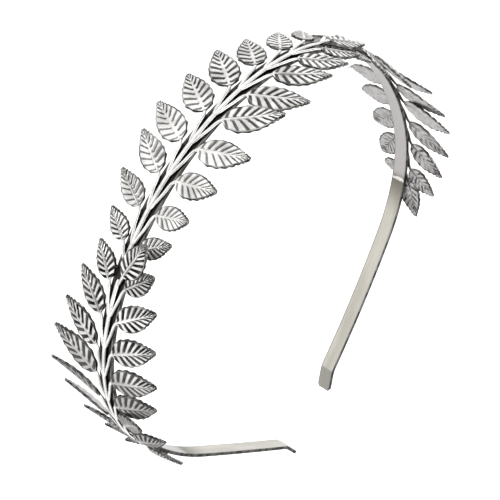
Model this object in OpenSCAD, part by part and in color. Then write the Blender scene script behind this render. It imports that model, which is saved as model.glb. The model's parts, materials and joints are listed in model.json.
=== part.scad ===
// Laurel wreath crown: a flat strip bent into an open head band, with three stamped laurel branches
// laid end to end along its outer face. It lies on its side, on the tips of the leaves of one side.
// The top of the head is towards -Y and both free ends are towards +Y. Millimetres, +Z up.

/* [Band] */

// Width of the strip
band_w = 4.4; // [3.6:0.1:5.2]

// Thickness of the strip
band_t = 1; // [0.8:0.05:1.3]

// Length of each half of the band, along its curve
half_len = 185; // [170:1:200]

// How far the first half turns in all, in degrees
first_turn = 124; // [110:1:130]

// How far the second half turns in all, in degrees
second_turn = 146; // [130:1:150]

// Length of the straight piece at each free end
end_len = 7.5; // [5:0.5:10]

// Outward bend of the first free end, in degrees
first_flare = 18; // [5:1:30]

// Outward bend of the second free end, in degrees
second_flare = 26; // [5:1:35]

/* [Branches] */

// Distance between two pairs of leaves along the stem
pair_pitch = 9.1; // [8.6:0.1:10.4]

// Thickness of the stamped metal
sheet_t = 0.65; // [0.5:0.05:0.9]

// Width of the stem
stem_w = 1.3; // [1.1:0.05:1.6]

// Width of a leaf stalk
stalk_w = 0.95; // [0.8:0.05:1.1]

// How far a stalk runs beside the stem before its leaf
stalk_run = 8.6; // [7:0.1:9.5]

// Distance from the stem's middle to where a leaf begins
leaf_root = 2.8; // [2.5:0.1:3.2]

// Gap between the band and the stamped metal, filled by solder
seat_gap = 0.2; // [0.1:0.05:0.3]

/* [Leaves] */

// Length of the longest leaf
leaf_len = 15.6; // [13:0.1:17]

// Width of the widest leaf
leaf_w = 7.6; // [6:0.1:8.4]

// How far the midrib stands up from the blade
rib_h = 0.35; // [0.2:0.05:0.6]

// Depth of the grooves between the side veins
groove = 0.3; // [0.15:0.05:0.4]

// How much the edges of a blade curl back
curl = 0.5; // [0.2:0.1:0.8]

// Forward sweep of the side veins, as a share of the leaf
vein_sweep = 0.17; // [0.08:0.01:0.22]

// How far the lower leaves may stand out before the surface stops them
rest_reach = 16.4; // [15:0.1:16.6]

/* [Hidden] */

STEEL = [0.66, 0.65, 0.62];
SILVER = [0.82, 0.82, 0.81];

FIRST = 0;
SECOND = 1;
FAR = -1;
NEAR = 1;

HALF_TURN = [first_turn, second_turn];
FLARE = [first_flare, second_flare];

// The curve of each half, from the top of the head to the free end.
RUN_SHARE = 0;
RUN_TURN = 1;
RUNS = [
    // share of half_len, share of first_turn, share of second_turn
    [0.16, 0.23, 0.20],
    [0.19, 0.26, 0.28],
    [0.19, 0.30, 0.16],
    [0.22, 0.20, 0.30],
    [0.24, 0.01, 0.06]
];

// Where the first pair of each branch sits, in pair pitches from the top of the head.
LEFT_START = -13.13;
MIDDLE_START = -4;
RIGHT_START = 4.92;

// The pairs of one stamping, from its foot to its tip.
PAIR_LEN = [0.55, 0.67, 0.80, 0.92, 1, 1, 0.92, 0.80, 0.64];
PAIR_LAST = len(PAIR_LEN) - 1;

// How the leaves were bent by hand, in degrees: spread from the stem, lift away from the head, and
// roll about the leaf's own length.
SPREAD = 0;
LIFT = 1;
ROLL = 2;
FAR_COLUMNS = 3;
LEFT_BENDS = [
    // near spread, near lift, near roll, far spread, far lift, far roll
    [62, -8, 0, 20, 10, 0],
    [70, -6, 0, 25, 5, 0],
    [61, -15, 0, 32, 5, 0],
    [39, 3, 0, 60, 2, 18],
    [61, -7, 0, 66, 6, 12],
    [64, -5, 0, 66, 0, -8],
    [60, -5, 0, 63, -7, 0],
    [53, -6, 0, 42, 0, 0],
    [46, 2, 0, 33, 3, 0]
];
MIDDLE_BENDS = [
    // near spread, near lift, near roll, far spread, far lift, far roll
    [56, -6, 0, 42, 10, 0],
    [74, 10, 0, 57, 5, 0],
    [78, 8, 0, 57, -1, 0],
    [74, 4, 0, 66, -7, 0],
    [56, 4, 0, 60, -12, 0],
    [65, 1, 0, 55, -9, 0],
    [51, 0, 0, 51, -11, 0],
    [50, 0, 0, 42, -11, 0],
    [46, 0, 0, 42, -10, 0]
];
RIGHT_BENDS = [
    // near spread, near lift, near roll, far spread, far lift, far roll
    [60, -10, 0, 66, -40, 0],
    [66, -20, 0, 76, -36, 0],
    [72, -12, 0, 62, 4, 0],
    [84, 0, 0, 80, 12, 0],
    [52, 5, 0, 66, 4, 0],
    [80, -3, 0, 54, 6, 0],
    [60, 0, 0, 42, 6, 0],
    [58, -1, 0, 31, 7, 0],
    [58, 3, 0, 24, 30, 0]
];

// The last leaf of each branch stands on a short stalk of its own, and clears the next branch.
LAST_LEN = 0.8;
LAST_AFTER = 0.36;
LAST_ROOT = 0.75;
LAST_RAISE = 1.6;
LEFT_LAST = [25, 12, 0];
MIDDLE_LAST = [14, -6, 0];
RIGHT_LAST = [20, 4, 0];

// Half the width of a blade along its length.
OUTLINE = [
    // share of the leaf's length, share of half the leaf's width
    [0.00, 0.14],
    [0.05, 0.44],
    [0.12, 0.70],
    [0.24, 0.93],
    [0.38, 1.00],
    [0.52, 0.95],
    [0.68, 0.75],
    [0.82, 0.46],
    [0.93, 0.20],
    [1.00, 0.05]
];

// Sections of a blade after its root, counted so that crests and grooves take turns.
SECTIONS = 10;
FIRST_SECTION = 0.05;
FULL_CURL = 0.45;
RING = 6;
TIP_THIN = 0.6;
EDGE_THIN = 0.75;
WIDE_SHARE = 0.35;
SOFT_BEND = 1.5;
STRAIGHT = 1;

// A stalk starts inside the stem, bows beside it and ends at the leaf.
STALK_FOOT = 0.3;
STALK_BOW = 0.55;
STALK_THIN = 0.85;
STEM_FOOT = 0.4;

BAND_STEPS = 60;
CLOSE = 0.001;

// A pose on the band is [x, y, heading]. It starts at the top of the head.
function along(pose, length, turn) =
    let (radius = length / turn * 180 / PI)
    [
        pose[0] + radius * (sin(pose[2] + turn) - sin(pose[2])),
        pose[1] - radius * (cos(pose[2] + turn) - cos(pose[2])),
        pose[2] + turn
    ];

function run_len(run) = half_len * RUNS[run][RUN_SHARE];
function run_turn(half, run) = HALF_TURN[half] * RUNS[run][RUN_TURN + half];
function run_start(half, run) =
    run == 0 ? [0, 0, 0] : along(run_start(half, run - 1), run_len(run - 1), run_turn(half, run - 1));
function len_before(run) = run == 0 ? 0 : len_before(run - 1) + run_len(run - 1);
function run_at(distance, run = 0) =
    run == len(RUNS) - 1 || distance < len_before(run + 1) ? run : run_at(distance, run + 1);

function pose_at(half, distance) =
    let (run = run_at(distance), into = max(distance - len_before(run), CLOSE))
    along(run_start(half, run), into, run_turn(half, run) * into / run_len(run));

// Places are signed lengths from the top of the head: first half below 0, second half above.
// The forward direction runs from the first free end to the second.
function half_of(place) = place < 0 ? FIRST : SECOND;
function pose_of(place) = pose_at(half_of(place), abs(place));
function side_x(place) = place < 0 ? 1 : -1;
function middle(place) = [side_x(place) * pose_of(place)[0], pose_of(place)[1], 0];
function forward(place) =
    let (heading = pose_of(place)[2])
    place < 0 ? [-cos(heading), -sin(heading), 0] : [-cos(heading), sin(heading), 0];
function outward(place) =
    let (heading = pose_of(place)[2])
    [side_x(place) * sin(heading), -cos(heading), 0];

// A point by its place, its distance across the band and its height above the band's middle.
function spot(place, across, height) = middle(place) + outward(place) * height + [0, 0, across];

sheet_low = band_t / 2 + seat_gap;
sheet_mid = sheet_low + sheet_t / 2;

function pair_place(start, pair) = (start + pair) * pair_pitch;

// One leaf's bends out of a row. A lower leaf spreads less where it would reach past the surface.
function near_bend(row) = [row[SPREAD], row[LIFT], row[ROLL]];
function far_bend(row, share) =
    let (
        lift = row[FAR_COLUMNS + LIFT],
        reach = (rest_reach - leaf_root) / (leaf_len * share * cos(lift))
    )
    [min(row[FAR_COLUMNS + SPREAD], asin(min(reach, 1))), lift, row[FAR_COLUMNS + ROLL]];

function blade_half(share, width) = lookup(share, OUTLINE) * width / 2;
function rib_share(section) =
    section == 0 ? 0 : FIRST_SECTION + (1 - FIRST_SECTION) * (section - 1) / (SECTIONS - 1);
function unit(v) = v / norm(v);

// A point of a blade: its share of the length, its distance across, and its height off the blade. The
// foot of the blade is its distance from the stem's middle and its height above the sheet.
function blade_spot(place, side, foot, bend, power, length, share, across, height) =
    let (
        level = forward(place) * cos(bend[SPREAD]) + [0, 0, side * sin(bend[SPREAD])],
        rise = outward(place) * sin(bend[LIFT]),
        u = unit(level * cos(bend[LIFT]) + rise * power * pow(max(share, CLOSE), power - 1)),
        v = [0, 0, cos(bend[SPREAD])] - forward(place) * side * sin(bend[SPREAD]),
        n = unit(outward(place) - u * (outward(place) * u)),
        rolled = v * cos(bend[ROLL]) + n * sin(bend[ROLL]),
        face = n * cos(bend[ROLL]) - v * sin(bend[ROLL])
    )
    spot(place, side * foot[0], sheet_mid + foot[1])
    + (level * cos(bend[LIFT]) * share + rise * pow(share, power)) * length
    + rolled * across + face * height;

// One ring of a blade: its edge, midrib and other edge in front, and the same behind.
function blade_ring(place, side, foot, bend, power, length, width, section) =
    let (
        rib_at = rib_share(section),
        edge_at = rib_at + vein_sweep * sin(180 * rib_at),
        half = blade_half(edge_at, width),
        fullness = 2 * half / width,
        curled = min(1, rib_at / FULL_CURL) * fullness * fullness,
        drop = (curl + (section % 2 == 0 ? 0 : groove)) * curled,
        rib = rib_h * 2 * blade_half(rib_at, width) / width,
        thick = sheet_t / 2 * (section == SECTIONS ? TIP_THIN : 1),
        thin = thick * EDGE_THIN
    )
    [
        for (corner = [
            [edge_at, half, thin - drop], [rib_at, 0, thick + rib], [edge_at, -half, thin - drop],
            [edge_at, -half, -thin - drop], [rib_at, 0, rib / 2 - thick], [edge_at, half, -thin - drop]
        ])
            blade_spot(place, side, foot, bend, power, length, corner[0], corner[1], corner[2])
    ];

// One ring of a stalk, with the same six points.
function stalk_ring(place, across, raise) =
    let (w = stalk_w / 2, t = STALK_THIN * sheet_t / 2)
    [
        for (corner = [[w, t], [0, t], [-w, t], [-w, -t], [0, -t], [w, -t]])
            spot(place, across + corner[0], sheet_mid + raise + corner[1])
    ];

// A leaf with its stalk, from the stem to the tip.
function leaf_points(place, side, foot, run, bend, power, share) =
    let (length = leaf_len * share, width = leaf_w * (WIDE_SHARE + (1 - WIDE_SHARE) * share))
    concat(
        stalk_ring(place - run, side * STALK_FOOT * stem_w, 0),
        stalk_ring(place - run / 2, side * STALK_BOW * foot[0], foot[1] / 2),
        [
            for (section = [0 : SECTIONS])
                each blade_ring(place, side, foot, bend, power, length, width, section)
        ]
    );

LAST_RING = SECTIONS + 2;
function ring_point(section, index) = section * RING + index % RING;
LEAF_FACES = [
    for (section = [0 : LAST_RING - 1])
        for (index = [0 : RING - 1])
            let (
                a = ring_point(section, index),
                b = ring_point(section, index + 1),
                c = ring_point(section + 1, index),
                d = ring_point(section + 1, index + 1)
            )
            each [[a, b, c], [b, d, c]],
    for (cap = [[0, 5, 1], [1, 5, 4], [1, 4, 2], [2, 4, 3]])
        cap,
    for (cap = [[0, 1, 5], [1, 4, 5], [1, 2, 4], [2, 3, 4]])
        [for (index = cap) ring_point(LAST_RING, index)]
];

function stalk_len(pair) = pair == 0 ? stalk_run / 2 : stalk_run;
function near_leaf(start, bends, pair) =
    leaf_points(pair_place(start, pair), NEAR, [leaf_root, 0], stalk_len(pair), near_bend(bends[pair]),
                SOFT_BEND, PAIR_LEN[pair]);
function far_leaf(start, bends, pair) =
    leaf_points(pair_place(start, pair), FAR, [leaf_root, 0], stalk_len(pair),
                far_bend(bends[pair], PAIR_LEN[pair]), SOFT_BEND, PAIR_LEN[pair]);
function last_place(start) = pair_place(start, PAIR_LAST) + LAST_AFTER * pair_pitch;
function last_leaf(start, bend, raise) =
    leaf_points(last_place(start), NEAR, [LAST_ROOT * leaf_root, raise], LAST_AFTER * pair_pitch, bend,
                STRAIGHT, LAST_LEN);

function branch_points(start, bends, last_bend, raise) = [
    for (pair = [0 : PAIR_LAST])
        each concat(near_leaf(start, bends, pair), far_leaf(start, bends, pair)),
    each last_leaf(start, last_bend, raise)
];
ALL_LEAVES = concat(
    branch_points(LEFT_START, LEFT_BENDS, LEFT_LAST, LAST_RAISE),
    branch_points(MIDDLE_START, MIDDLE_BENDS, MIDDLE_LAST, LAST_RAISE),
    branch_points(RIGHT_START, RIGHT_BENDS, RIGHT_LAST, 0)
);

// The whole crown is moved so that the middle of its footprint is at the origin and it rests on Z = 0.
low_z = min([for (p = ALL_LEAVES) p[2]]);
low_x = min([for (p = ALL_LEAVES) p[0]]);
high_x = max([for (p = ALL_LEAVES) p[0]]);
low_y = min([for (p = ALL_LEAVES) p[1]]);
high_y = max([for (height = [-band_t, band_t] / 2) for (half = [FIRST, SECOND]) end_points(half, height)[1][1]]);

module placed()
{
    translate([-(low_x + high_x) / 2, -(low_y + high_y) / 2, -low_z]) children();
}

// Points along one face of the band, from the first free end to the second.
function end_points(half, height) =
    let (
        last = len(RUNS) - 1,
        pose = along(run_start(half, last), run_len(last), run_turn(half, last)),
        heading = pose[2] - FLARE[half],
        mid = pose[2] - FLARE[half] / 2,
        side = half == FIRST ? 1 : -1,
        bend = height / cos(FLARE[half] / 2)
    )
    [
        [side * (pose[0] + bend * sin(mid)), pose[1] - bend * cos(mid)],
        [
            side * (pose[0] + end_len * cos(heading) + height * sin(heading)),
            pose[1] + end_len * sin(heading) - height * cos(heading)
        ]
    ];

function flat(point) = [point[0], point[1]];
function band_face(height) = concat(
    [end_points(FIRST, height)[1], end_points(FIRST, height)[0]],
    [
        for (step = [-BAND_STEPS + 1 : BAND_STEPS - 1])
            flat(spot(step * half_len / BAND_STEPS, 0, height))
    ],
    [end_points(SECOND, height)[0], end_points(SECOND, height)[1]]
);

function reversed(points) = [for (i = [len(points) - 1 : -1 : 0]) points[i]];

module band()
{
    color(STEEL)
        placed()
            translate([0, 0, -band_w / 2])
                linear_extrude(band_w)
                    polygon(concat(band_face(band_t / 2), reversed(band_face(-band_t / 2))));
}

// The stem is a row of short convex blocks, each closed round two of its sections.
function stem_section(place) = [
    for (corner = [[-1, -1], [1, -1], [1, 1], [-1, 1]])
        spot(place, corner[0] * stem_w / 2, sheet_mid + corner[1] * sheet_t / 2)
];
BLOCK_FACES = [
    [0, 1, 5, 4], [1, 2, 6, 5], [2, 3, 7, 6], [3, 0, 4, 7], [3, 2, 1, 0], [4, 5, 6, 7]
];

module stem(start)
{
    first = pair_place(start, 0) - STEM_FOOT * stalk_run;
    last = pair_place(start, PAIR_LAST) + STEM_FOOT * LAST_AFTER * pair_pitch;
    steps = 2 * (PAIR_LAST + 1);
    for (i = [0 : steps - 1]) {
        from = first + (last - first) * i / steps;
        to = first + (last - first) * (i + 1) / steps;
        hull()
            polyhedron(points = concat(stem_section(from), stem_section(to)), faces = BLOCK_FACES);
    }
}

module leaf(points)
{
    polyhedron(points = points, faces = LEAF_FACES);
}

module branch(start, bends, last_bend, raise)
{
    placed() {
        stem(start);
        for (pair = [0 : PAIR_LAST]) {
            leaf(near_leaf(start, bends, pair));
            leaf(far_leaf(start, bends, pair));
        }
        leaf(last_leaf(start, last_bend, raise));
    }
}

module left_branch()
{
    color(SILVER)
        branch(LEFT_START, LEFT_BENDS, LEFT_LAST, LAST_RAISE);
}

module middle_branch()
{
    color(SILVER)
        branch(MIDDLE_START, MIDDLE_BENDS, MIDDLE_LAST, LAST_RAISE);
}

module right_branch()
{
    color(SILVER)
        branch(RIGHT_START, RIGHT_BENDS, RIGHT_LAST, 0);
}

band();
left_branch();
middle_branch();
right_branch();
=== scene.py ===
"""Laurel wreath crown: stamped silver laurel branches soldered along an open steel head band.

The blanks are modelled flat with Blender's own operators, then bent onto the curve of the head band.
Blanks and curve are sized in millimetres. Finished pieces are in metres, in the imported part's frame.
"""

from __future__ import annotations

import json
import logging
import math
from dataclasses import dataclass, field
from enum import Enum
from functools import reduce
from typing import Mapping, Sequence

import bmesh
import bpy
import numpy as np
from mathutils import Euler, Matrix, Vector

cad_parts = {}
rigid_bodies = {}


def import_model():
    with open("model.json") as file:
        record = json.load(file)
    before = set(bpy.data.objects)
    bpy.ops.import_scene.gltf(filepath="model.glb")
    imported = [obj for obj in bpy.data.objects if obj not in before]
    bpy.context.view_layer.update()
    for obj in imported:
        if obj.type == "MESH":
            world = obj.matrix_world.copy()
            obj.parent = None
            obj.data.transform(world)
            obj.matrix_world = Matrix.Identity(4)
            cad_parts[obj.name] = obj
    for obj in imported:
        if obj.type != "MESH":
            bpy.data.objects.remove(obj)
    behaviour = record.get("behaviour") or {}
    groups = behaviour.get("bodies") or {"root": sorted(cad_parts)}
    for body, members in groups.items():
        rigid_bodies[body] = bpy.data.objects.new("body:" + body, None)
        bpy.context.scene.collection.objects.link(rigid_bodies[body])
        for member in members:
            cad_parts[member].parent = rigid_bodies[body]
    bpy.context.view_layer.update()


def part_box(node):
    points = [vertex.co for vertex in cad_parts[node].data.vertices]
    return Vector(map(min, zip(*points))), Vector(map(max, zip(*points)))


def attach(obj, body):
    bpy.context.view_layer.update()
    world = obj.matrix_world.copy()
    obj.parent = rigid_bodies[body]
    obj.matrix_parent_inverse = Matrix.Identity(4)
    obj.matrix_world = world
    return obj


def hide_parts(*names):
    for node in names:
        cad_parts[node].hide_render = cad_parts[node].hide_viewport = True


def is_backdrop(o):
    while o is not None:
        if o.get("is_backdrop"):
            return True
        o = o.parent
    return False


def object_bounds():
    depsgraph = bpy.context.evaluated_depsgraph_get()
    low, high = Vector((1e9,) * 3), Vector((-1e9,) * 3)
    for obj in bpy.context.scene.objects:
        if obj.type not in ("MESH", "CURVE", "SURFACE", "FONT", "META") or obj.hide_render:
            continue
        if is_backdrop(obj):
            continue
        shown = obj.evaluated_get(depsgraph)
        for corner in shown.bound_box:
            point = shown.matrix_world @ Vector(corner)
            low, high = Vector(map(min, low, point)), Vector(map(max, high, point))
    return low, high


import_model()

LOG = logging.getLogger("laurel_crown")
MM = 0.001
UP = np.array([0.0, 0.0, 1.0])
TURN = 2 * math.pi
UV_NAME = "leaf_uv"
SIDE_VEINS = 9

Points = np.ndarray
Piece = bpy.types.Object
Metal = bpy.types.Material
Socket = bpy.types.NodeSocket
Colour = tuple[float, float, float]
Span = tuple[float, float]
Noise = tuple[float, float]  # waves to a metre, octaves
Ripple = tuple[float, float, float]  # waves to a metre, octaves, whole range
Relief = tuple[float, float]  # depth in metres, share of that depth


class Side(Enum):
    """The two long sides of the band: the near one faces up where the crown lies."""

    FAR = -1
    NEAR = 1


class LeafFace(Enum):
    """Material slots of a leaf, in order."""

    FRONT = 0
    RIM = 1
    BACK = 2


class StripFace(Enum):
    """Material slots of the band, in order."""

    OUTER = 0
    EDGE = 1
    INNER = 2


def deselect() -> None:
    """Leave every object unselected."""
    bpy.ops.object.select_all(action="DESELECT")


def pick(piece: Piece) -> None:
    """Make one object the only selected and active one.

    Args:
        piece: the object.
    """
    deselect()
    piece.select_set(True)
    bpy.context.view_layer.objects.active = piece


def ease(span: Span, value: Points) -> Points:
    """Ease values from 0 at the start of a span to 1 at its end."""
    t = np.clip((value - span[0]) / (span[1] - span[0]), 0.0, 1.0)
    return t * t * (3.0 - 2.0 * t)


def within(start: Span, end: Span, value: Points) -> Points:
    """Ease values from 0 to 1 over one span, and back to 0 over another."""
    return ease(start, value) * (1.0 - ease(end, value))


def unit_rows(rows: Points) -> Points:
    """Bring every row to a length of 1."""
    return rows / np.linalg.norm(rows, axis=1)[:, None]


def smooth_through(at: Points, knots: Points, wanted: Points) -> tuple[Points, Points]:
    """Follow the smooth curve through some knots.

    Args:
        at: where each knot lies along the curve, rising.
        knots: the knots, as rows.
        wanted: where to read the curve.

    Returns:
        Points of the curve and its directions there, as rows.
    """
    slopes = np.gradient(knots, at, axis=0)
    index = np.clip(np.searchsorted(at, wanted, side="right") - 1, 0, len(at) - 2)
    gap = (at[index + 1] - at[index])[:, None]
    k = np.clip((wanted - at[index])[:, None] / gap, 0.0, 1.0)
    a, b = knots[index], knots[index + 1]
    m0, m1 = slopes[index] * gap, slopes[index + 1] * gap
    points = ((2 * k**3 - 3 * k**2 + 1) * a + (k**3 - 2 * k**2 + k) * m0
              + (-2 * k**3 + 3 * k**2) * b + (k**3 - k**2) * m1)
    directions = ((6 * k**2 - 6 * k) * a + (3 * k**2 - 4 * k + 1) * m0
                  + (6 * k - 6 * k**2) * b + (3 * k**2 - 2 * k) * m1)
    return points, directions


def read_points(mesh: bpy.types.Mesh) -> Points:
    """Read the vertex places of a mesh.

    Args:
        mesh: the mesh.

    Returns:
        Rows of x, y, z.
    """
    flat = np.empty(len(mesh.vertices) * 3, dtype=np.float64)
    mesh.vertices.foreach_get("co", flat)
    return flat.reshape(-1, 3)


def write_points(mesh: bpy.types.Mesh, points: Points) -> None:
    """Set the vertex places of a mesh from rows of x, y, z."""
    mesh.vertices.foreach_set("co", np.ascontiguousarray(points, dtype=np.float32).ravel())
    mesh.update()


def map_uv(mesh: bpy.types.Mesh, along: Points, across: Points) -> None:
    """Give a mesh its UV map.

    Args:
        mesh: the mesh of a flat blank.
        along: u of each vertex.
        across: v of each vertex.
    """
    layer = mesh.uv_layers[0] if mesh.uv_layers else mesh.uv_layers.new(name=UV_NAME)
    layer.name = UV_NAME
    corners = np.empty(len(mesh.loops), dtype=np.int32)
    mesh.loops.foreach_get("vertex_index", corners)
    uv = np.stack([along, across], -1)[corners]
    layer.data.foreach_set("uv", np.ascontiguousarray(uv, dtype=np.float32).ravel())


def apply_modifier(piece: Piece, kind: str, **settings: object) -> None:
    """Add a modifier to a piece and apply it.

    Args:
        piece: the piece.
        kind: type of the modifier.
        settings: its properties.
    """
    pick(piece)
    modifier = piece.modifiers.new(kind, kind)
    for key, value in settings.items():
        setattr(modifier, key, value)
    bpy.ops.object.modifier_apply(modifier=modifier.name)


def own_copy(blank: Piece, name: str) -> Piece:
    """Copy a blank with a mesh of its own.

    Args:
        blank: the object to copy.
        name: name of the copy.

    Returns:
        The copy, linked to the scene.
    """
    piece = blank.copy()
    piece.data = blank.data.copy()
    piece.name = name
    bpy.context.scene.collection.objects.link(piece)
    return piece


def turn_outward(piece: Piece) -> None:
    """Make every face of a closed piece look outward.

    Args:
        piece: the piece.
    """
    pick(piece)
    bpy.ops.object.mode_set(mode="EDIT")
    bpy.ops.mesh.select_all(action="SELECT")
    bpy.ops.mesh.normals_make_consistent(inside=False)
    bpy.ops.object.mode_set(mode="OBJECT")


def join_as(name: str, parts: Sequence[Piece]) -> Piece:
    """Join several objects into one finished piece.

    Args:
        name: name of the joined piece.
        parts: the objects to join.

    Returns:
        The joined piece, its faces outward.
    """
    pick(parts[0])
    for part in parts:
        part.select_set(True)
    bpy.ops.object.join()
    piece = bpy.context.view_layer.objects.active
    piece.name = name
    piece.data.name = name
    turn_outward(piece)
    return piece


# The curve of the band
@dataclass
class HeadCurve:
    """The curve of the head band, in millimetres along it from the top of the head."""

    half_len: float = 185.0
    first_turn: float = 124.0
    second_turn: float = 146.0
    end_len: float = 7.5
    first_flare: float = 18.0
    second_flare: float = 26.0
    runs: tuple[tuple[float, float, float], ...] = (
        # shares of half_len, of first_turn and of second_turn
        (0.16, 0.23, 0.20),
        (0.19, 0.26, 0.28),
        (0.19, 0.30, 0.16),
        (0.22, 0.20, 0.30),
        (0.24, 0.01, 0.06),
    )
    flare_run: float = 2.4
    step: float = 0.025
    seat_samples: int = 4001
    shift: Points = field(default_factory=lambda: np.zeros(3))

    def __post_init__(self) -> None:
        """Tabulate both halves finely, with the short outward bend at each free end."""
        lengths, first, second = np.array(self.runs).T
        self._first = self._half(lengths * self.half_len, first * self.first_turn, self.first_flare)
        self._second = self._half(lengths * self.half_len, second * self.second_turn, self.second_flare)

    def _half(self, lengths: Points, turns: Points, flare: float) -> tuple[Points, ...]:
        """Walk one half of the curve.

        Args:
            lengths: length of each run, in millimetres.
            turns: turn of each run, in degrees.
            flare: outward bend of the free end, in degrees.

        Returns:
            Distances, x, y and headings in radians.
        """
        total = self.half_len + self.end_len
        distance = np.linspace(0.0, total, round(total / self.step) + 1)
        middle = (distance[1:] + distance[:-1]) / 2
        run = np.searchsorted(np.cumsum(lengths), middle, side="right")
        rate = (np.radians(turns) / lengths)[np.minimum(run, len(lengths) - 1)]
        rate[middle > self.half_len] = 0.0
        rate[np.abs(middle - self.half_len) < self.flare_run / 2] -= math.radians(flare) / self.flare_run
        gap = np.diff(distance)
        heading = np.concatenate([[0.0], np.cumsum(rate * gap)])
        mid = (heading[1:] + heading[:-1]) / 2
        x, y = (np.concatenate([[0.0], np.cumsum(part * gap)]) for part in (np.cos(mid), np.sin(mid)))
        return distance, x, y, heading

    def frames(self, place: Points) -> tuple[Points, Points, Points]:
        """Give the middle line, forward and outward directions at signed places.

        Args:
            place: millimetres along the band, negative on the first half.

        Returns:
            Middle points, forward directions and outward directions, as rows.
        """
        place = np.asarray(place, dtype=float)
        first = place < 0
        x, y, heading = (
            np.where(first, np.interp(np.abs(place), self._first[0], before),
                     np.interp(np.abs(place), self._second[0], after))
            for before, after in zip(self._first[1:], self._second[1:])
        )
        sign = np.where(first, 1.0, -1.0)
        level = np.zeros_like(x)
        middle = np.stack([sign * x, y, level], -1)
        forward = np.stack([-np.cos(heading), -sign * np.sin(heading), level], -1)
        outward = np.stack([sign * np.sin(heading), -np.cos(heading), level], -1)
        return middle, forward, outward

    def spot(self, place: Points, across: Points, height: Points) -> Points:
        """Give points by place, distance across the band and height above its middle, in millimetres."""
        middle, _, outward = self.frames(place)
        return middle + outward * np.asarray(height)[..., None] + UP * np.asarray(across)[..., None]

    def to_part(self, points: Points) -> Points:
        """Turn millimetres on the curve into metres in the part's frame."""
        return (points + self.shift) * MM

    def seat(self, band_t: float, band_w: float) -> None:
        """Find the curve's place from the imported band.

        Args:
            band_t: thickness of the strip, in millimetres.
            band_w: width of the strip, in millimetres.
        """
        low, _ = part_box("band")
        place = np.linspace(-self.half_len, self.half_len, self.seat_samples)
        outer = self.spot(place, np.zeros_like(place), np.full_like(place, band_t / 2))
        lowest = np.array([outer[:, 0].min(), outer[:, 1].min(), -band_w / 2])
        self.shift = np.array(low) / MM - lowest


# Finishes
@dataclass(frozen=True)
class Ramp:
    """An eased change, from start where a value is low to end where it is high."""

    low: float
    high: float
    start: float = 0.0
    end: float = 1.0


@dataclass(frozen=True)
class Grain:
    """Noise on a piece, changed by a ramp."""

    noise: Noise
    ramp: Ramp


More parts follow.
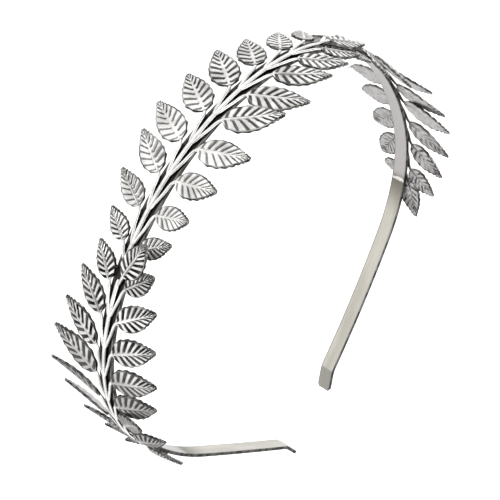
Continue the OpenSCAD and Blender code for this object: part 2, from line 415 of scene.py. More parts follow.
class Sketch:
    """The shader nodes of one metal."""

    # the colour sockets of a Mix node, by number
    first_colour, second_colour, mixed_colour = 6, 7, 2

    def __init__(self, name: str) -> None:
        """Start an empty material.

        Args:
            name: name of the material.
        """
        self.material = bpy.data.materials.new(name)
        self.material.use_nodes = True
        self.tree = self.material.node_tree
        self.tree.nodes.clear()

    def add(self, kind: str, inputs: Mapping[str | int, object], **settings: str) -> bpy.types.Node:
        """Add a shader node.

        Args:
            kind: type of the node.
            inputs: a socket, number, vector or colour for some of its inputs.
            settings: its other properties.

        Returns:
            The node.
        """
        node = self.tree.nodes.new(f"ShaderNode{kind}")
        for key, value in settings.items():
            setattr(node, key, value)
        for key, value in inputs.items():
            if isinstance(value, bpy.types.NodeSocket):
                self.tree.links.new(value, node.inputs[key])
            else:
                node.inputs[key].default_value = (*value, 1.0) if isinstance(value, tuple) else value
        return node

    def math(self, operation: str, *values: Socket | float) -> Socket:
        """Calculate with sockets and numbers."""
        return self.add("Math", dict(enumerate(values)), operation=operation).outputs[0]

    def times(self, first: Socket, *factors: Socket | float) -> Socket:
        """Multiply sockets and numbers."""
        return reduce(lambda product, factor: self.math("MULTIPLY", product, factor), factors, first)

    def off(self, value: Socket, centre: float) -> Socket:
        """Return how far a value is from a centre."""
        return self.math("ABSOLUTE", self.math("SUBTRACT", value, centre))

    def at_least(self, least: float, share: Socket) -> Socket:
        """Bring a share of 0 to 1 into the range from a least value to 1."""
        return self.math("ADD", self.times(share, 1.0 - least), least)

    def ramp(self, value: Socket, ramp: Ramp) -> Socket:
        """Change a value by a ramp."""
        inputs = {"Value": value, "From Min": ramp.low, "From Max": ramp.high,
                  "To Min": ramp.start, "To Max": ramp.end}
        return self.add("MapRange", inputs, interpolation_type="SMOOTHSTEP").outputs["Result"]

    def window(self, value: Socket, *ramps: Ramp) -> Socket:
        """Return the product of several ramps of one value."""
        return self.times(*(self.ramp(value, ramp) for ramp in ramps))

    def mix(self, share: Socket, first: Socket | Colour, second: Socket | Colour) -> Socket:
        """Mix two colours: a share of 0 gives the first, and 1 the second."""
        inputs = {"Factor": share, self.first_colour: first, self.second_colour: second}
        return self.add("Mix", inputs, data_type="RGBA").outputs[self.mixed_colour]

    def own(self) -> Socket:
        """Return the piece's own coordinates, in metres."""
        return self.add("TexCoord", {}).outputs["Object"]

    def mapped(self) -> Socket:
        """Return the piece's UV coordinates."""
        return self.add("UVMap", {}, uv_map=UV_NAME).outputs["UV"]

    def axis(self, place: Socket, axis: str) -> Socket:
        """Return one axis of some coordinates."""
        return self.add("SeparateXYZ", {"Vector": place}).outputs[axis]

    def reach(self) -> Socket:
        """Return the share of the way from the middle of the piece's UV map to either edge."""
        return self.times(self.off(self.axis(self.mapped(), "Y"), 0.5), 2.0)

    def noise(self, scale: float, detail: float, place: Socket | None = None) -> Socket:
        """Return noise of 0 to 1, on the piece's own coordinates where no others are given."""
        inputs = {"Vector": place or self.own(), "Scale": scale, "Detail": detail}
        return self.add("TexNoise", inputs).outputs["Fac"]

    def brushed(self, waves: Span, detail: float) -> Socket:
        """Return noise of 0 to 1 with its own number of waves along and across the UV map."""
        stretch = self.add("Mapping", {"Vector": self.mapped(), "Scale": Vector((*waves, 1.0))})
        return self.noise(1.0, detail, stretch.outputs["Vector"])

    def grain(self, grain: Grain) -> Socket:
        """Return noise that is changed by a ramp."""
        return self.ramp(self.noise(*grain.noise), grain.ramp)

    def rippled(self, value: Socket, scale: float, detail: float, amount: float) -> Socket:
        """Shift a value up and down by noise, over a whole range of one amount."""
        shift = self.times(self.math("SUBTRACT", self.noise(scale, detail), 0.5), amount)
        return self.math("ADD", value, shift)

    def emboss(self, height: Socket, depth: float, strength: float) -> Socket:
        """Return the normal of a fine relief, its height from 0 to 1 and its depth in metres."""
        inputs = {"Strength": strength, "Distance": depth, "Height": height}
        return self.add("Bump", inputs).outputs["Normal"]

    def finish(self, inputs: Mapping[str, Socket]) -> Metal:
        """Make the metal itself.

        Args:
            inputs: the sockets of its colour, roughness and normal.

        Returns:
            The finished material.
        """
        metal = self.add("BsdfPrincipled", {"Metallic": 1.0, **inputs})
        self.add("OutputMaterial", {"Surface": metal.outputs["BSDF"]})
        return self.material


@dataclass(frozen=True)
class VeinStrokes:
    """Tarnish that stays in the side veins of a leaf, as soft strokes."""

    shaky: Ripple = (900.0, 2.0, 0.12)
    side: Ramp = Ramp(0.07, 0.19, 1.0, 0.0)
    blade: tuple[Ramp, Ramp] = (Ramp(0.06, 0.18), Ramp(0.90, 0.98, 1.0, 0.0))

    def draw(self, s: Sketch, width: Socket | float) -> Socket:
        """Draw the strokes.

        Args:
            s: the nodes of the metal.
            width: extra width of a stroke, as a share of the space between two veins.

        Returns:
            1 on the strokes and 0 between them.
        """
        along = s.axis(s.mapped(), "X")
        off_line = s.off(s.math("FRACT", s.times(along, float(SIDE_VEINS))), 0.5)
        line = s.ramp(s.math("SUBTRACT", s.rippled(off_line, *self.shaky), width), self.side)
        return s.times(line, s.window(s.reach(), *self.blade))


@dataclass(frozen=True)
class LeafFrontFinish:
    """Polished silver plate with dark tarnish left in the side veins.

    It is rubbed clean near the top of the head, and satin on both arms. Painted shade darkens the leaf's
    edge, in patches.
    """

    name: str = "leaf_front_silver"
    silver: Colour = (0.70, 0.695, 0.68)
    grey: Colour = (0.36, 0.355, 0.345)
    satin: Colour = (0.33, 0.323, 0.32)
    # colour of the tarnish in the side veins, and of the painted shade along the leaf's edge
    tarnish_and_lip_shade: Colour = (0.010, 0.009, 0.008)
    rubbed_x: float = 0.014
    off_rubbed: Ramp = Ramp(0.010, 0.024, 0.1, 1.0)
    cleaner: Ramp = Ramp(-0.010, 0.014, 0.70, 1.0)
    dulled: Ramp = Ramp(-0.044, -0.030, 0.0, 0.9)
    strokes: VeinStrokes = VeinStrokes()
    widened: float = 0.14
    worn: Grain = Grain((260.0, 3.0), Ramp(0.35, 0.62, 0.86, 1.0))
    rubbed_least: float = 0.70
    dull_fade: float = 0.25
    # painted shade along the leaf's edge, broken into patches
    lip_shade: Ramp = Ramp(0.86, 0.96)
    lip_shade_patches: Grain = Grain((230.0, 3.0), Ramp(0.42, 0.58, 0.45, 1.0))
    cloud: Grain = Grain((170.0, 4.0), Ramp(0.38, 0.66, 0.0, 0.8))
    polish: Grain = Grain((420.0, 5.0), Ramp(0.3, 0.7, 0.17, 0.30))
    dull_rough: float = 0.25
    pits: Noise = (1800.0, 4.0)
    relief: Relief = (0.00003, 0.35)

    def build(self) -> Metal:
        """Make the material, its dark strokes following the leaf's own UV map.

        Returns:
            The material.
        """
        s = Sketch(self.name)
        off_top = s.off(s.axis(s.own(), "X"), self.rubbed_x)
        tarnished = s.times(s.ramp(off_top, self.off_rubbed), s.ramp(s.axis(s.own(), "X"), self.cleaner))
        dull = s.ramp(s.axis(s.own(), "Y"), self.dulled)
        worn = s.times(s.grain(self.worn), s.at_least(self.rubbed_least, tarnished))
        faded = s.math("SUBTRACT", 1.0, s.times(dull, self.dull_fade))
        stroke = s.times(self.strokes.draw(s, s.times(tarnished, self.widened)), worn, faded)
        # painted shade: darken the leaf's edge, in patches
        lip_shade = s.times(s.ramp(s.reach(), self.lip_shade), s.grain(self.lip_shade_patches))
        dark = s.math("MAXIMUM", stroke, lip_shade)
        plate = s.mix(dull, s.mix(s.grain(self.cloud), self.silver, self.grey), self.satin)
        rough = s.math("ADD", s.grain(self.polish), s.times(s.math("ADD", dark, dull), self.dull_rough))
        return s.finish({"Base Color": s.mix(dark, plate, self.tarnish_and_lip_shade), "Roughness": rough,
                         "Normal": s.emboss(s.noise(*self.pits), *self.relief)})


@dataclass(frozen=True)
class LeafBackFinish:
    """Satin grey back of the stamped sheet, its veins darker on both arms, with painted shade along its edge.
    """

    name: str = "leaf_back_satin"
    light: Colour = (0.47, 0.455, 0.455)
    shade: Colour = (0.38, 0.365, 0.365)
    # colour of the tarnish in the side veins, and of the painted shade along the leaf's edge
    tarnish_and_lip_shade: Colour = (0.03, 0.027, 0.025)
    satin: Grain = Grain((300.0, 4.0), Ramp(0.35, 0.65))
    strokes: VeinStrokes = VeinStrokes()
    hatched: Ramp = Ramp(-0.012, 0.004)
    hatched_least: float = 0.12
    patches: Grain = Grain((420.0, 3.0), Ramp(0.38, 0.60, 0.15, 0.9))
    # painted shade along the leaf's edge, in patches, and nearly whole on both arms
    lip_shade: Ramp = Ramp(0.84, 0.95)
    lip_shade_patches: Grain = Grain((210.0, 3.0), Ramp(0.40, 0.58, 0.25, 0.85))
    hatched_lip_shade: float = 0.95
    rough: Grain = Grain((700.0, 4.0), Ramp(0.3, 0.7, 0.40, 0.52))
    pits: Noise = (3500.0, 3.0)
    relief: Relief = (0.00003, 0.5)

    def build(self) -> Metal:
        """Make the material: fine grained satin metal.

        Returns:
            The material.
        """
        s = Sketch(self.name)
        satin = s.mix(s.grain(self.satin), self.light, self.shade)
        hatched = s.ramp(s.axis(s.own(), "Y"), self.hatched)
        patch = s.times(s.grain(self.patches), s.at_least(self.hatched_least, hatched))
        # painted shade: darken the leaf's edge
        lip_shade = s.times(s.ramp(s.reach(), self.lip_shade),
                      s.math("MAXIMUM", s.grain(self.lip_shade_patches), s.times(hatched, self.hatched_lip_shade)))
        dark = s.math("MAXIMUM", s.times(self.strokes.draw(s, 0.0), patch), lip_shade)
        return s.finish({"Base Color": s.mix(dark, satin, self.tarnish_and_lip_shade), "Roughness": s.grain(self.rough),
                         "Normal": s.emboss(s.noise(*self.pits), *self.relief)})


@dataclass(frozen=True)
class CutRimFinish:
    """A sheared edge, darker than the faces beside it: its colour is painted shade along the cut edge, with
    tarnish in patches.
    """

    name: str
    # painted shade: the dark colour of the whole cut edge
    colour: Colour = (0.17, 0.166, 0.16)
    dark: Colour = (0.05, 0.048, 0.045)
    patches: Grain = Grain((500.0, 3.0), Ramp(0.4, 0.6))
    rough: Grain = Grain((900.0, 3.0), Ramp(0.3, 0.7, 0.30, 0.45))

    def build(self) -> Metal:
        """Make the material: sheared metal with tarnish in patches."""
        s = Sketch(self.name)
        return s.finish({"Base Color": s.mix(s.grain(self.patches), self.colour, self.dark),
                         "Roughness": s.grain(self.rough)})


@dataclass(frozen=True)
class StalkFinish:
    """Pale drawn metal of the stem and the leaf stalks."""

    name: str = "stalk_silver"
    silver: Colour = (0.74, 0.735, 0.72)
    # painted shade: the side of each wire that faces the band is mixed towards this grey
    grey: Colour = (0.10, 0.098, 0.093)
    band_side_shade: Ramp = Ramp(0.52, 0.80, 1.0, 0.0)
    patches: Grain = Grain((350.0, 3.0), Ramp(0.35, 0.7, 0.0, 0.3))
    rough: Grain = Grain((600.0, 4.0), Ramp(0.3, 0.7, 0.20, 0.34))
    pits: Noise = (2500.0, 3.0)
    relief: Relief = (0.00002, 0.4)

    def build(self) -> Metal:
        """Make the material: silver with painted shade on the side of each wire that faces the band.

        Returns:
            The material.
        """
        s = Sketch(self.name)
        # painted shade on the side that faces the band, with tarnish in patches
        low = s.ramp(s.axis(s.mapped(), "Y"), self.band_side_shade)
        shade = s.math("MAXIMUM", low, s.grain(self.patches))
        return s.finish({"Base Color": s.mix(shade, self.silver, self.grey), "Roughness": s.grain(self.rough),
                         "Normal": s.emboss(s.noise(*self.pits), *self.relief)})


@dataclass(frozen=True)
class StripFinish:
    """Brushed steel strip, with painted shadow on its outer face under the branches, and darker along its
    edges.

    Its places are shares of the whole length, or of the way from the middle line to an edge.
    """

    name: str
    face: StripFace
    steel: Colour = (0.36, 0.348, 0.308)
    pale: Colour = (0.47, 0.455, 0.412)
    brush_waves: Span = (60.0, 26.0)
    brush_detail: float = 6.0
    brush_share: float = 0.45
    drift_waves: Span = (14.0, 1.2)
    drift_detail: float = 3.0
    tone: Ramp = Ramp(0.36, 0.64)
    covered: tuple[Ramp, Ramp] = (Ramp(0.155, 0.165), Ramp(0.808, 0.818, 1.0, 0.0))
    # painted shadow: colour of the outer face under the branches, weaker towards its edges
    under: Colour = (0.030, 0.028, 0.026)
    inside: Ramp = Ramp(0.70, 0.94, 1.0, 0.35)
    backed: Colour = (0.35, 0.337, 0.335)
    burnt: Colour = (0.13, 0.12, 0.10)
    heated: tuple[Ramp, Ramp] = (Ramp(0.126, 0.160), Ramp(0.812, 0.852, 1.0, 0.0))
    seam: Colour = (0.66, 0.65, 0.63)
    seam_at: float = 0.8155
    seam_line: Ramp = Ramp(0.0006, 0.0016, 0.85, 0.0)
    ragged: Ripple = (700.0, 2.0, 0.006)
    tab: Colour = (0.25, 0.243, 0.22)
    tab_line: Ramp = Ramp(0.0185, 0.0205, 1.0, 0.0)
    edge: Colour = (0.12, 0.115, 0.10)
    edge_line: Ramp = Ramp(0.80, 0.95, 0.0, 0.9)
    rough: Ramp = Ramp(0.3, 0.7, 0.30, 0.46)
    relief: Relief = (0.00004, 0.5)

    def build(self) -> Metal:
        """Make the material, brushed along the strip's own UV map.

        Returns:
            The material.
        """
        s = Sketch(self.name)
        along = s.axis(s.mapped(), "X")
        brush = s.brushed(self.brush_waves, self.brush_detail)
        drift = s.brushed(self.drift_waves, self.drift_detail)
        tone = s.math("ADD", s.times(brush, self.brush_share), s.times(drift, 1.0 - self.brush_share))
        colour = s.mix(s.ramp(tone, self.tone), self.steel, self.pale)
        covered = s.window(along, *self.covered)
        if self.face is StripFace.OUTER:
            # painted shadow under the branches, on the outer face
            colour = s.mix(s.times(covered, s.ramp(s.reach(), self.inside)), colour, self.under)
        else:
            colour = s.mix(s.window(along, *self.heated), colour, self.burnt)
            colour = s.mix(covered, colour, self.backed)
            off_seam = s.off(s.rippled(along, *self.ragged), self.seam_at)
            colour = s.mix(s.ramp(off_seam, self.seam_line), colour, self.seam)
        from_end = s.math("SUBTRACT", 0.5, s.off(along, 0.5))
        colour = s.mix(s.ramp(from_end, self.tab_line), colour, self.tab)
        colour = s.mix(s.ramp(s.reach(), self.edge_line), colour, self.edge)
        return s.finish({"Base Color": colour, "Roughness": s.ramp(brush, self.rough),
                         "Normal": s.emboss(brush, *self.relief)})


# The leaf
@dataclass
class LeafBlank:
    """One stamped leaf, modelled flat at its full size. Its length runs along X."""

    length: float = 15.6
    width: float = 7.6
    sheet_t: float = 0.6
    foot_clear: Span = (0.02, 0.10)
    tip_clear: Span = (0.90, 0.985)
    rib_h: float = 0.36
    rib_w: float = 0.42
    rib_least: float = 0.30
    rib_tip: Span = (0.7, 1.0)
    rib_tip_drop: float = 0.75
    valley_depth: float = 0.09
    valley_at: float = 2.0
    valley_w: float = 0.6
    vein_depth: float = 0.20
    vein_half: float = 0.15
    vein_from: Span = (0.06, 0.22)
    vein_to: Span = (0.88, 1.0)
    swell: float = 0.09
    swell_from: Span = (0.05, 0.4)
    curl: float = 0.5
    curl_power: float = 1.5
    full_curl: float = 0.45
    sweep: float = 0.24
    scallop: float = 0.016
    scallop_from: Span = (0.1, 0.25)
    scallop_to: Span = (0.8, 0.95)
    rows_a_vein: int = 6
    columns: int = 26
    row_crowd: float = 0.6
    edge_crowd: float = 1.25
    soften: float = 0.5
    soften_rounds: int = 5
    sharp_deg: float = 38.0
    outline: tuple[Span, ...] = (
        # share of the length, share of half the width
        (0.00, 0.14),
        (0.05, 0.44),
        (0.12, 0.70),
        (0.24, 0.93),
        (0.38, 1.00),
        (0.52, 0.95),
        (0.68, 0.75),
        (0.82, 0.46),
        (0.93, 0.20),
        (1.00, 0.02),
    )

    def half_width(self, share: Points) -> Points:
        """Give half the blade's width, by a smooth curve through the outline.

        Args:
            share: share of the length.

        Returns:
            Half widths, in millimetres.
        """
        at, knots = np.array(self.outline).T
        half, _ = smooth_through(at, knots[:, None], share)
        return np.maximum(half[:, 0], 0.0) * self.width / 2

    def relief(self, rib_at: Points, reach: Points, half: Points) -> Points:
        """Give the height of the front face, in millimetres.

        Args:
            rib_at: share of the length where the point's side vein meets the midrib.
            reach: share of the way from the midrib to the edge.
            half: half the blade's width there, in millimetres.

        Returns:
            Heights above the flat sheet.
        """
        phase = np.mod(rib_at * SIDE_VEINS, 1.0)
        ends = within(self.foot_clear, self.tip_clear, rib_at)
        full = np.clip(half / (self.width / 2), 0.0, 1.0)
        vein = np.exp(-(((phase - 0.5) / self.vein_half) ** 2)) * within(self.vein_from, self.vein_to, reach)
        height = -self.vein_depth * vein * ends
        height += self.swell * np.cos(TURN * phase) * ease(self.swell_from, reach) * ends
        off_rib = reach * half / self.rib_w
        rib = self.rib_h * np.exp(-(off_rib**2))
        rib -= self.valley_depth * np.exp(-(((off_rib - self.valley_at) / self.valley_w) ** 2))
        rib *= self.rib_least + (1.0 - self.rib_least) * np.sqrt(full)
        height += rib * (1.0 - self.rib_tip_drop * ease(self.rib_tip, rib_at))
        curled = np.clip(rib_at / self.full_curl, 0.0, 1.0) * full**2
        return height - self.curl * curled * reach**self.curl_power

    def build(self, metals: Mapping[LeafFace, Metal]) -> Piece:
        """Model the leaf: grid, outline row by row, chevrons and relief, thickness and soft back.

        Args:
            metals: finish of each face.

        Returns:
            The flat leaf, in millimetres.
        """
        deselect()
        bpy.ops.mesh.primitive_grid_add(x_subdivisions=SIDE_VEINS * self.rows_a_vein,
                                        y_subdivisions=self.columns, size=2.0)
        leaf = bpy.context.object
        leaf.name = "leaf_blank"
        mesh = leaf.data
        x, y, _ = read_points(mesh).T
        steps = (x + 1.0) / 2.0 * SIDE_VEINS
        rib_at = np.clip((steps + self.row_crowd * np.sin(TURN * steps) / TURN) / SIDE_VEINS, 0.0, 1.0)
        reach = np.abs(y) ** self.edge_crowd
        swept = self.sweep * np.sin(math.pi * rib_at)
        scallops = np.cos(TURN * np.mod(rib_at * SIDE_VEINS, 1.0))
        scallops *= self.scallop * within(self.scallop_from, self.scallop_to, rib_at)
        half = self.half_width(rib_at + swept) * (1.0 + scallops)
        map_uv(mesh, rib_at, np.sign(y) * reach / 2.0 + 0.5)
        write_points(mesh, np.stack([(rib_at + swept * reach) * self.length, np.sign(y) * reach * half,
                                     self.relief(rib_at, reach, half)], -1))
        for face in LeafFace:
            mesh.materials.append(metals[face])
        apply_modifier(leaf, "SOLIDIFY", thickness=self.sheet_t, offset=-1.0, use_even_offset=False,
                       material_offset=LeafFace.BACK.value, material_offset_rim=LeafFace.RIM.value)
        self._soften_back(leaf)
        bpy.ops.object.shade_smooth_by_angle(angle=math.radians(self.sharp_deg))
        write_points(mesh, read_points(mesh) + UP * self.sheet_t / 2)
        return leaf

    def _soften_back(self, leaf: Piece) -> None:
        """Smooth the struck relief of the back face, away from its edge.

        Args:
            leaf: the solid leaf, selected and active.
        """
        bpy.ops.object.mode_set(mode="EDIT")
        bpy.ops.mesh.select_mode(type="FACE")
        bpy.ops.mesh.select_all(action="DESELECT")
        shape = bmesh.from_edit_mesh(leaf.data)
        for face in shape.faces:
            face.select_set(face.material_index == LeafFace.BACK.value)
        bmesh.update_edit_mesh(leaf.data)
        bpy.ops.mesh.select_less()
        bpy.ops.mesh.vertices_smooth(factor=self.soften, repeat=self.soften_rounds)
        bpy.ops.object.mode_set(mode="OBJECT")


@dataclass
class WireBlank:
    """A straight piece of half-round wire, one unit long along X, for stalks and stems."""

    name: str
    rows: int
    sides: int = 12
    sharp_deg: float = 50.0

    def build(self, metal: Metal) -> Piece:
        """Extrude a ring along X, row by row, and close both ends.

        Args:
            metal: its finish.

        Returns:
            The straight wire, with a ring of radius 1.
        """
        deselect()
        bpy.ops.mesh.primitive_circle_add(vertices=self.sides, radius=1.0, fill_type="NGON",
                                          rotation=(0.0, math.pi / 2, 0.0))
        wire = bpy.context.object
        wire.name = self.name
        bpy.ops.object.transform_apply(location=True, rotation=True, scale=True)
        bpy.ops.object.mode_set(mode="EDIT")
        bpy.ops.mesh.select_mode(type="FACE")
        bpy.ops.mesh.select_all(action="SELECT")
        for _ in range(self.rows):
            bpy.ops.mesh.extrude_region_move(TRANSFORM_OT_translate={"value": (1.0 / self.rows, 0.0, 0.0)})
        bpy.ops.object.mode_set(mode="OBJECT")
        turn_outward(wire)
        x, _, z = read_points(wire.data).T
        map_uv(wire.data, x, z / 2.0 + 0.5)
        wire.data.materials.append(metal)
        bpy.ops.object.shade_smooth_by_angle(angle=math.radians(self.sharp_deg))
        return wire


# The branches
@dataclass(frozen=True)
class Bend:
    """How one leaf was bent by hand.

    Args:
        spread: degrees away from the stem.
        lift: degrees away from the head.
        roll: degrees about the leaf's own length.
    """

    spread: float
    lift: float
    roll: float = 0.0


@dataclass(frozen=True)
class BranchPlan:
    """Where one stamped branch lies and how its leaves were bent.

    Args:
        name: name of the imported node.
        first_pitch: place of the first pair, in pair pitches from the top of the head.
        rows: bends of each pair, from the foot of the branch: near spread, lift and roll, then far ones.
        last: bend of the leaf at the tip.
        last_raise: how far that leaf stands above the sheet, in millimetres.
    """

    name: str
    first_pitch: float
    rows: tuple[tuple[float, ...], ...]
    last: Bend
    last_raise: float = 0.0


@dataclass(frozen=True)
class LeafSeat:
    """Where one leaf sits on its branch, in millimetres.

    Args:
        name: name of the leaf.
        place: place of its foot, along the band.
        side: side of the stem.
        across: distance of its foot from the middle of the stem.
        run: length of its stalk beside the stem.
        share: its length, as a share of the longest leaf's.
        bend: how it is bent.
        raised: height of its foot above the sheet.
        power: 1 for a straight leaf, more for one that bends gradually.
    """

    name: str
    place: float
    side: Side
    across: float
    run: float
    share: float
    bend: Bend
    raised: float = 0.0
    power: float = 1.5


@dataclass
class Branch:
    """A stamped branch, bent from blanks: stem, stalks, nine pairs of leaves and one at the tip."""

    curve: HeadCurve
    plan: BranchPlan
    leaf: Piece
    stalk: Piece
    stem: Piece
    band_t: float = 1.0
    seat_gap: float = 0.2
    sheet_t: float = 0.65
    pitch: float = 9.1
    stem_w: float = 1.3
    stem_foot: float = 0.4
    stem_start: Span = (-0.012, 0.02)
    stem_end: Span = (0.98, 1.012)
    stem_end_w: float = 0.55
    stem_end_h: float = 0.6
    stalk_w: float = 0.95
    stalk_run: float = 8.6
    stalk_foot: float = 0.3
    stalk_bow: float = 0.55
    stalk_start: Span = (-0.08, 0.06)
    stalk_thins: Span = (0.62, 1.0)
    stalk_thinned: float = 0.78
    stalk_least_h: float = 0.35
    stalk_top: float = 1.12
    stalk_sole: float = 0.9
    under_leaf: tuple[Span, ...] = ((0.0, 0.0), (0.16, 0.06), (0.34, 0.08))
    leaf_root: float = 2.8
    leaf_len: float = 15.6
    least_share: float = 0.001
    rest_reach: float = 16.4
    wide_share: float = 0.35
    last_len: float = 0.8
    last_after: float = 0.36
    last_root: float = 0.75
    pair_len: tuple[float, ...] = (0.55, 0.67, 0.80, 0.92, 1.0, 1.0, 0.92, 0.80, 0.64)

    @property
    def sheet_mid(self) -> float:
        """Height of the middle of the stamped metal above the band's middle."""
        return self.band_t / 2 + self.seat_gap + self.sheet_t / 2

    def pair_place(self, pair: int) -> float:
        """Place of one pair of leaves, along the band."""
        return (self.plan.first_pitch + pair) * self.pitch

    def held_back(self, bend: Bend, share: float) -> Bend:
        """Hold a lower leaf back where it would reach past the surface the crown lies on.

        Args:
            bend: how the leaf would be bent.
            share: its length, as a share of the longest leaf's.

        Returns:
            The bend, spread no further than there is room.
        """
        level_len = self.leaf_len * share * math.cos(math.radians(bend.lift))
        limit = math.degrees(math.asin(min((self.rest_reach - self.leaf_root) / level_len, 1.0)))
        return Bend(min(bend.spread, limit), bend.lift, bend.roll)

    def seats(self) -> list[LeafSeat]:
        """Seat every leaf.

        Returns:
            The seats of both leaves of each pair, and of the leaf at the tip.
        """
        seats = []
        for pair, (share, row) in enumerate(zip(self.pair_len, self.plan.rows)):
            run = self.stalk_run / 2 if pair == 0 else self.stalk_run
            near, far = Bend(*row[:3]), self.held_back(Bend(*row[3:]), share)
            for side, bend in ((Side.NEAR, near), (Side.FAR, far)):
                name = f"{self.plan.name}_{side.name.lower()}_{pair}"
                seats.append(LeafSeat(name, self.pair_place(pair), side, self.leaf_root, run, share, bend))
        run = self.last_after * self.pitch
        place = self.pair_place(len(self.pair_len) - 1) + run
        seats.append(LeafSeat(f"{self.plan.name}_tip", place, Side.NEAR, self.last_root * self.leaf_root, run,
                              self.last_len, self.plan.last, raised=self.plan.last_raise, power=1.0))
        return seats

    def leaf_spot(self, seat: LeafSeat, local: Points) -> Points:
        """Place points of a leaf.

        Args:
            seat: where the leaf sits.
            local: rows of share of the length, distance across and height.

        Returns:
            Points on the curve, in millimetres.
        """
        middle, forward, outward = (rows[0] for rows in self.curve.frames(np.array([seat.place])))
        side = UP * seat.side.value
        spread, lift, roll = (math.radians(v) for v in (seat.bend.spread, seat.bend.lift, seat.bend.roll))
        level = (forward * math.cos(spread) + side * math.sin(spread)) * math.cos(lift)
        rise = outward * math.sin(lift)
        share = np.maximum(local[:, 0], self.least_share)
        u = unit_rows(level + rise * (seat.power * share ** (seat.power - 1.0))[:, None])
        v = UP * math.cos(spread) - forward * seat.side.value * math.sin(spread)
        n = unit_rows(outward - u * (u @ outward)[:, None])
        across = v * math.cos(roll) + n * math.sin(roll)
        face = n * math.cos(roll) - v * math.sin(roll)
        foot = middle + outward * (self.sheet_mid + seat.raised) + side * seat.across
        line = level * local[:, :1] + rise * (share**seat.power)[:, None]
        return foot + line * self.leaf_len * seat.share + across * local[:, 1:2] + face * local[:, 2:3]

    def make_leaf(self, seat: LeafSeat) -> Piece:
        """Copy the stamped leaf, trim it to size and bend it into place.

        Args:
            seat: where the leaf sits.

        Returns:
            The leaf.
        """
        leaf = own_copy(self.leaf, seat.name)
        wide = self.wide_share + (1.0 - self.wide_share) * seat.share
        local = read_points(leaf.data) * (1.0 / self.leaf_len, wide, 1.0)
        write_points(leaf.data, self.curve.to_part(self.leaf_spot(seat, local)))
        return leaf

    def make_stalk(self, seat: LeafSeat) -> Piece:
        """Bend a wire from inside the stem, beside it, and on under the foot of its leaf.

        Args:
            seat: where the stalk's leaf sits.

        Returns:
            The stalk.
        """
        stalk = own_copy(self.stalk, f"{seat.name}_stalk")
        beside = np.array([self.stalk_foot * self.stem_w, self.stalk_bow * seat.across])
        start = self.curve.spot(np.array([seat.place - seat.run, seat.place - seat.run / 2]),
                                seat.side.value * beside,
                                np.array([self.sheet_mid, self.sheet_mid + seat.raised / 2]))
        under = np.array([(share, 0.0, height) for share, height in self.under_leaf])
        knots = np.vstack([start, self.leaf_spot(seat, under)])
        at = np.concatenate([[0.0], np.cumsum(np.linalg.norm(np.diff(knots, axis=0), axis=1))])
        outward = self.curve.frames(np.array([seat.place]))[2][0]
        x, y, z = read_points(stalk.data).T[..., None]
        t = np.clip(x, 0.0, 1.0)
        centre, ahead = smooth_through(at / at[-1], knots, t[:, 0])
        ahead = unit_rows(ahead)
        n = unit_rows(outward - ahead * (ahead @ outward)[:, None])
        thin = (1.0 - self.stalk_thinned * ease(self.stalk_thins, t)) * ease(self.stalk_start, t)
        wide = self.stalk_w / 2 * thin
        tall = self.sheet_t / 2 * (self.stalk_least_h + (1.0 - self.stalk_least_h) * thin)
        tall *= np.where(z > 0, self.stalk_top, self.stalk_sole)
        placed = centre + np.cross(n, ahead) * y * wide + n * z * tall
        write_points(stalk.data, self.curve.to_part(placed))
        return stalk

    def make_stem(self) -> Piece:
        """Bend a wire along the band as the branch's stem.

        Returns:
            The stem.
        """
        stem = own_copy(self.stem, f"{self.plan.name}_stem")
        first = self.pair_place(0) - self.stem_foot * self.stalk_run
        last = self.pair_place(len(self.pair_len) - 1) + self.stem_foot * self.last_after * self.pitch
        x, y, z = read_points(stem.data).T
        full = within(self.stem_start, self.stem_end, x)
        wide = self.stem_w / 2 * (self.stem_end_w + (1.0 - self.stem_end_w) * full)
        tall = self.sheet_t / 2 * (self.stem_end_h + (1.0 - self.stem_end_h) * full)
        placed = self.curve.spot(first + (last - first) * x, y * wide, self.sheet_mid + z * tall)
        write_points(stem.data, self.curve.to_part(placed))
        return stem

    def build(self) -> tuple[Piece, Piece]:
        """Make all parts of the branch.

        Returns:
            The joined leaves, and the joined stem and stalks.
        """
        wires = [self.make_stem(), *(self.make_stalk(seat) for seat in self.seats())]
        leaves = [self.make_leaf(seat) for seat in self.seats()]
        return (join_as(f"{self.plan.name}_leaves", leaves),
                join_as(f"{self.plan.name}_stem_and_stalks", wires))


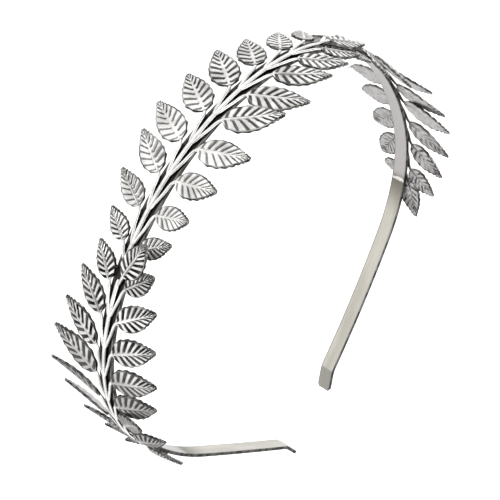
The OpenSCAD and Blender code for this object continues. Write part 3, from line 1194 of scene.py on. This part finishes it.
# The band
@dataclass
class Band:
    """The flat strip of the head band, with slightly rounded edges and ends."""

    curve: HeadCurve
    band_w: float = 4.4
    band_t: float = 1.0
    rounding: float = 0.16
    rounding_steps: int = 3
    corner: float = 0.9
    corner_depth: float = 0.6
    rows: int = 420
    columns: int = 6
    edge_deg: float = 60.0
    sharp_deg: float = 45.0

    def build(self, metals: Mapping[StripFace, Metal]) -> Piece:
        """Model a straight strip, then bend it round the head.

        Args:
            metals: finish of each face.

        Returns:
            The finished band.
        """
        reach = self.curve.half_len + self.curve.end_len
        deselect()
        bpy.ops.mesh.primitive_grid_add(x_subdivisions=self.rows, y_subdivisions=self.columns, size=2.0)
        band = bpy.context.object
        band.name = "head_band"
        bpy.ops.transform.resize(value=(reach, self.band_w / 2, 1.0))
        bpy.ops.object.transform_apply(location=True, rotation=True, scale=True)
        flat = read_points(band.data)
        # small arcs at the four corners
        past = np.clip(np.abs(flat[:, 0]) - (reach - self.corner), 0.0, self.corner)
        inset = self.corner - np.sqrt(np.maximum(self.corner**2 - past**2, 0.0))
        flat[:, 1] *= 1.0 - inset * self.corner_depth / (self.band_w / 2)
        write_points(band.data, flat)
        map_uv(band.data, flat[:, 0] / (2 * reach) + 0.5, flat[:, 1] / self.band_w + 0.5)
        for face in StripFace:
            band.data.materials.append(metals[face])
        apply_modifier(band, "SOLIDIFY", thickness=self.band_t, offset=0.0,
                       material_offset=StripFace.INNER.value, material_offset_rim=StripFace.EDGE.value)
        apply_modifier(band, "BEVEL", limit_method="ANGLE", angle_limit=math.radians(self.edge_deg),
                       width=self.rounding, segments=self.rounding_steps, material=StripFace.EDGE.value)
        bpy.ops.object.shade_smooth_by_angle(angle=math.radians(self.sharp_deg))
        write_points(band.data, self.curve.to_part(self.curve.spot(*read_points(band.data).T)))
        turn_outward(band)
        return band


# The studio
@dataclass
class Studio:
    """A plain pale floor, soft light and the camera."""

    curve: HeadCurve
    floor_half: float = 6.0
    paper: Colour = (0.93, 0.93, 0.93)
    paper_rough: float = 0.9
    paper_glow: float = 0.25
    white: Colour = (1.0, 1.0, 1.0)
    room_light: float = 0.6
    soft_boxes: tuple[tuple[str, tuple[float, float, float], float, float], ...] = (
        # name, place and size in metres, power in watts
        ("soft_box_above", (-0.35, -0.25, 1.3), 1.9, 26.0),
        ("soft_box_side", (1.1, -0.5, 0.7), 0.6, 4.0),
    )
    lens: float = 132.05
    sensor: float = 36.0
    clip: Span = (0.01, 50.0)
    camera_deg: tuple[float, float, float] = (-42.45, -48.25, 160.502)
    from_apex: tuple[float, float, float] = (145.669, -339.955, 235.232)

    def build_floor(self) -> None:
        """Lay the floor just under the lowest leaf tips."""
        low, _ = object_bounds()
        deselect()
        bpy.ops.mesh.primitive_plane_add(size=self.floor_half * 2, location=(0.0, 0.0, low[2]))
        floor = bpy.context.object
        floor.name = "floor"
        bpy.ops.object.transform_apply(location=True, rotation=True, scale=True)
        paper = bpy.data.materials.new("pale_floor")
        paper.use_nodes = True
        shader = paper.node_tree.nodes["Principled BSDF"]
        shader.inputs["Base Color"].default_value = (*self.paper, 1.0)
        shader.inputs["Roughness"].default_value = self.paper_rough
        shader.inputs["Emission Color"].default_value = (*self.white, 1.0)
        shader.inputs["Emission Strength"].default_value = self.paper_glow
        floor.data.materials.append(paper)
        floor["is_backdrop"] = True

    def build_lights(self) -> None:
        """Hang the soft boxes and fill the room with even light."""
        world = bpy.data.worlds.new("studio")
        world.use_nodes = True
        sky = world.node_tree.nodes["Background"]
        sky.inputs["Color"].default_value = (*self.white, 1.0)
        sky.inputs["Strength"].default_value = self.room_light
        bpy.context.scene.world = world
        bpy.context.scene.view_settings.view_transform = "Standard"
        for name, place, size, power in self.soft_boxes:
            light = bpy.data.lights.new(name, "AREA")
            light.size = size
            light.energy = power
            box = bpy.data.objects.new(name, light)
            box.location = place
            box.rotation_mode = "QUATERNION"
            box.rotation_quaternion = (-Vector(place)).to_track_quat("-Z", "Y")
            bpy.context.scene.collection.objects.link(box)

    def build_camera(self) -> None:
        """Set the camera at the photograph's angle to the crown."""
        data = bpy.data.cameras.new("camera")
        data.lens = self.lens
        data.sensor_width = self.sensor
        data.clip_start, data.clip_end = self.clip
        camera = bpy.data.objects.new("camera", data)
        turn = Euler([math.radians(angle) for angle in self.camera_deg]).to_matrix().to_4x4()
        place = self.curve.to_part(np.array(self.from_apex))
        camera.matrix_world = Matrix.Translation(Vector(place)) @ turn
        bpy.context.scene.collection.objects.link(camera)
        bpy.context.scene.camera = camera


# The crown
LAST_RAISE = 1.6
PLANS = (
    BranchPlan("left_branch", -13.13, (
        (62, -8, 0, 20, 10, 0),
        (70, -6, 0, 25, 5, 0),
        (61, -15, 0, 32, 5, 0),
        (39, 3, 0, 60, 2, 18),
        (61, -7, 0, 66, 6, 12),
        (64, -5, 0, 66, 0, -8),
        (60, -5, 0, 63, -7, 0),
        (53, -6, 0, 42, 0, 0),
        (46, 2, 0, 33, 3, 0),
    ), Bend(25, 12), LAST_RAISE),
    BranchPlan("middle_branch", -4.0, (
        (56, -6, 0, 42, 10, 0),
        (74, 10, 0, 57, 5, 0),
        (78, 8, 0, 57, -1, 0),
        (74, 4, 0, 66, -7, 0),
        (56, 4, 0, 60, -12, 0),
        (65, 1, 0, 55, -9, 0),
        (51, 0, 0, 51, -11, 0),
        (50, 0, 0, 42, -11, 0),
        (46, 0, 0, 42, -10, 0),
    ), Bend(14, -6), LAST_RAISE),
    BranchPlan("right_branch", 4.92, (
        (60, -10, 0, 66, -40, 0),
        (66, -20, 0, 76, -36, 0),
        (72, -12, 0, 62, 4, 0),
        (84, 0, 0, 80, 12, 0),
        (52, 5, 0, 66, 4, 0),
        (80, -3, 0, 54, 6, 0),
        (60, 0, 0, 42, 6, 0),
        (58, -1, 0, 31, 7, 0),
        (58, 3, 0, 24, 30, 0),
    ), Bend(20, 4)),
)


def dress_band(strip: Band) -> None:
    """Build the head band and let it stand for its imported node.

    Args:
        strip: the band's sizes.
    """
    band = strip.build({
        StripFace.INNER: StripFinish("band_steel", StripFace.INNER).build(),
        StripFace.OUTER: StripFinish("band_steel_outer", StripFace.OUTER).build(),
        StripFace.EDGE: CutRimFinish("band_cut_edge").build(),
    })
    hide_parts("band")
    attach(band, "root")
    LOG.info("%s: %d faces", band.name, len(band.data.polygons))


def dress_branches(curve: HeadCurve) -> None:
    """Build the three branches from one stamped leaf and two straight wires.

    Args:
        curve: the curve that they are bent onto.
    """
    leaf = LeafBlank().build({
        LeafFace.FRONT: LeafFrontFinish().build(),
        LeafFace.RIM: CutRimFinish("leaf_cut_rim").build(),
        LeafFace.BACK: LeafBackFinish().build(),
    })
    metal = StalkFinish().build()
    stalk = WireBlank("stalk_blank", rows=14).build(metal)
    stem = WireBlank("stem_blank", rows=96).build(metal)
    for plan in PLANS:
        for piece in Branch(curve, plan, leaf, stalk, stem).build():
            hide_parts(plan.name)
            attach(piece, "root")
            LOG.info("%s: %d faces", piece.name, len(piece.data.polygons))
    for blank in (leaf, stalk, stem):
        # its object goes with its mesh
        bpy.data.meshes.remove(blank.data)


def main() -> None:
    """Build the crown and its studio."""
    logging.basicConfig(level=logging.INFO, format="%(name)s: %(message)s")
    curve = HeadCurve()
    strip = Band(curve)
    curve.seat(strip.band_t, strip.band_w)
    LOG.info("curve placed at %s mm", np.round(curve.shift, 3))
    dress_band(strip)
    dress_branches(curve)
    studio = Studio(curve)
    studio.build_floor()
    studio.build_lights()
    studio.build_camera()


if __name__ == "__main__":
    main()
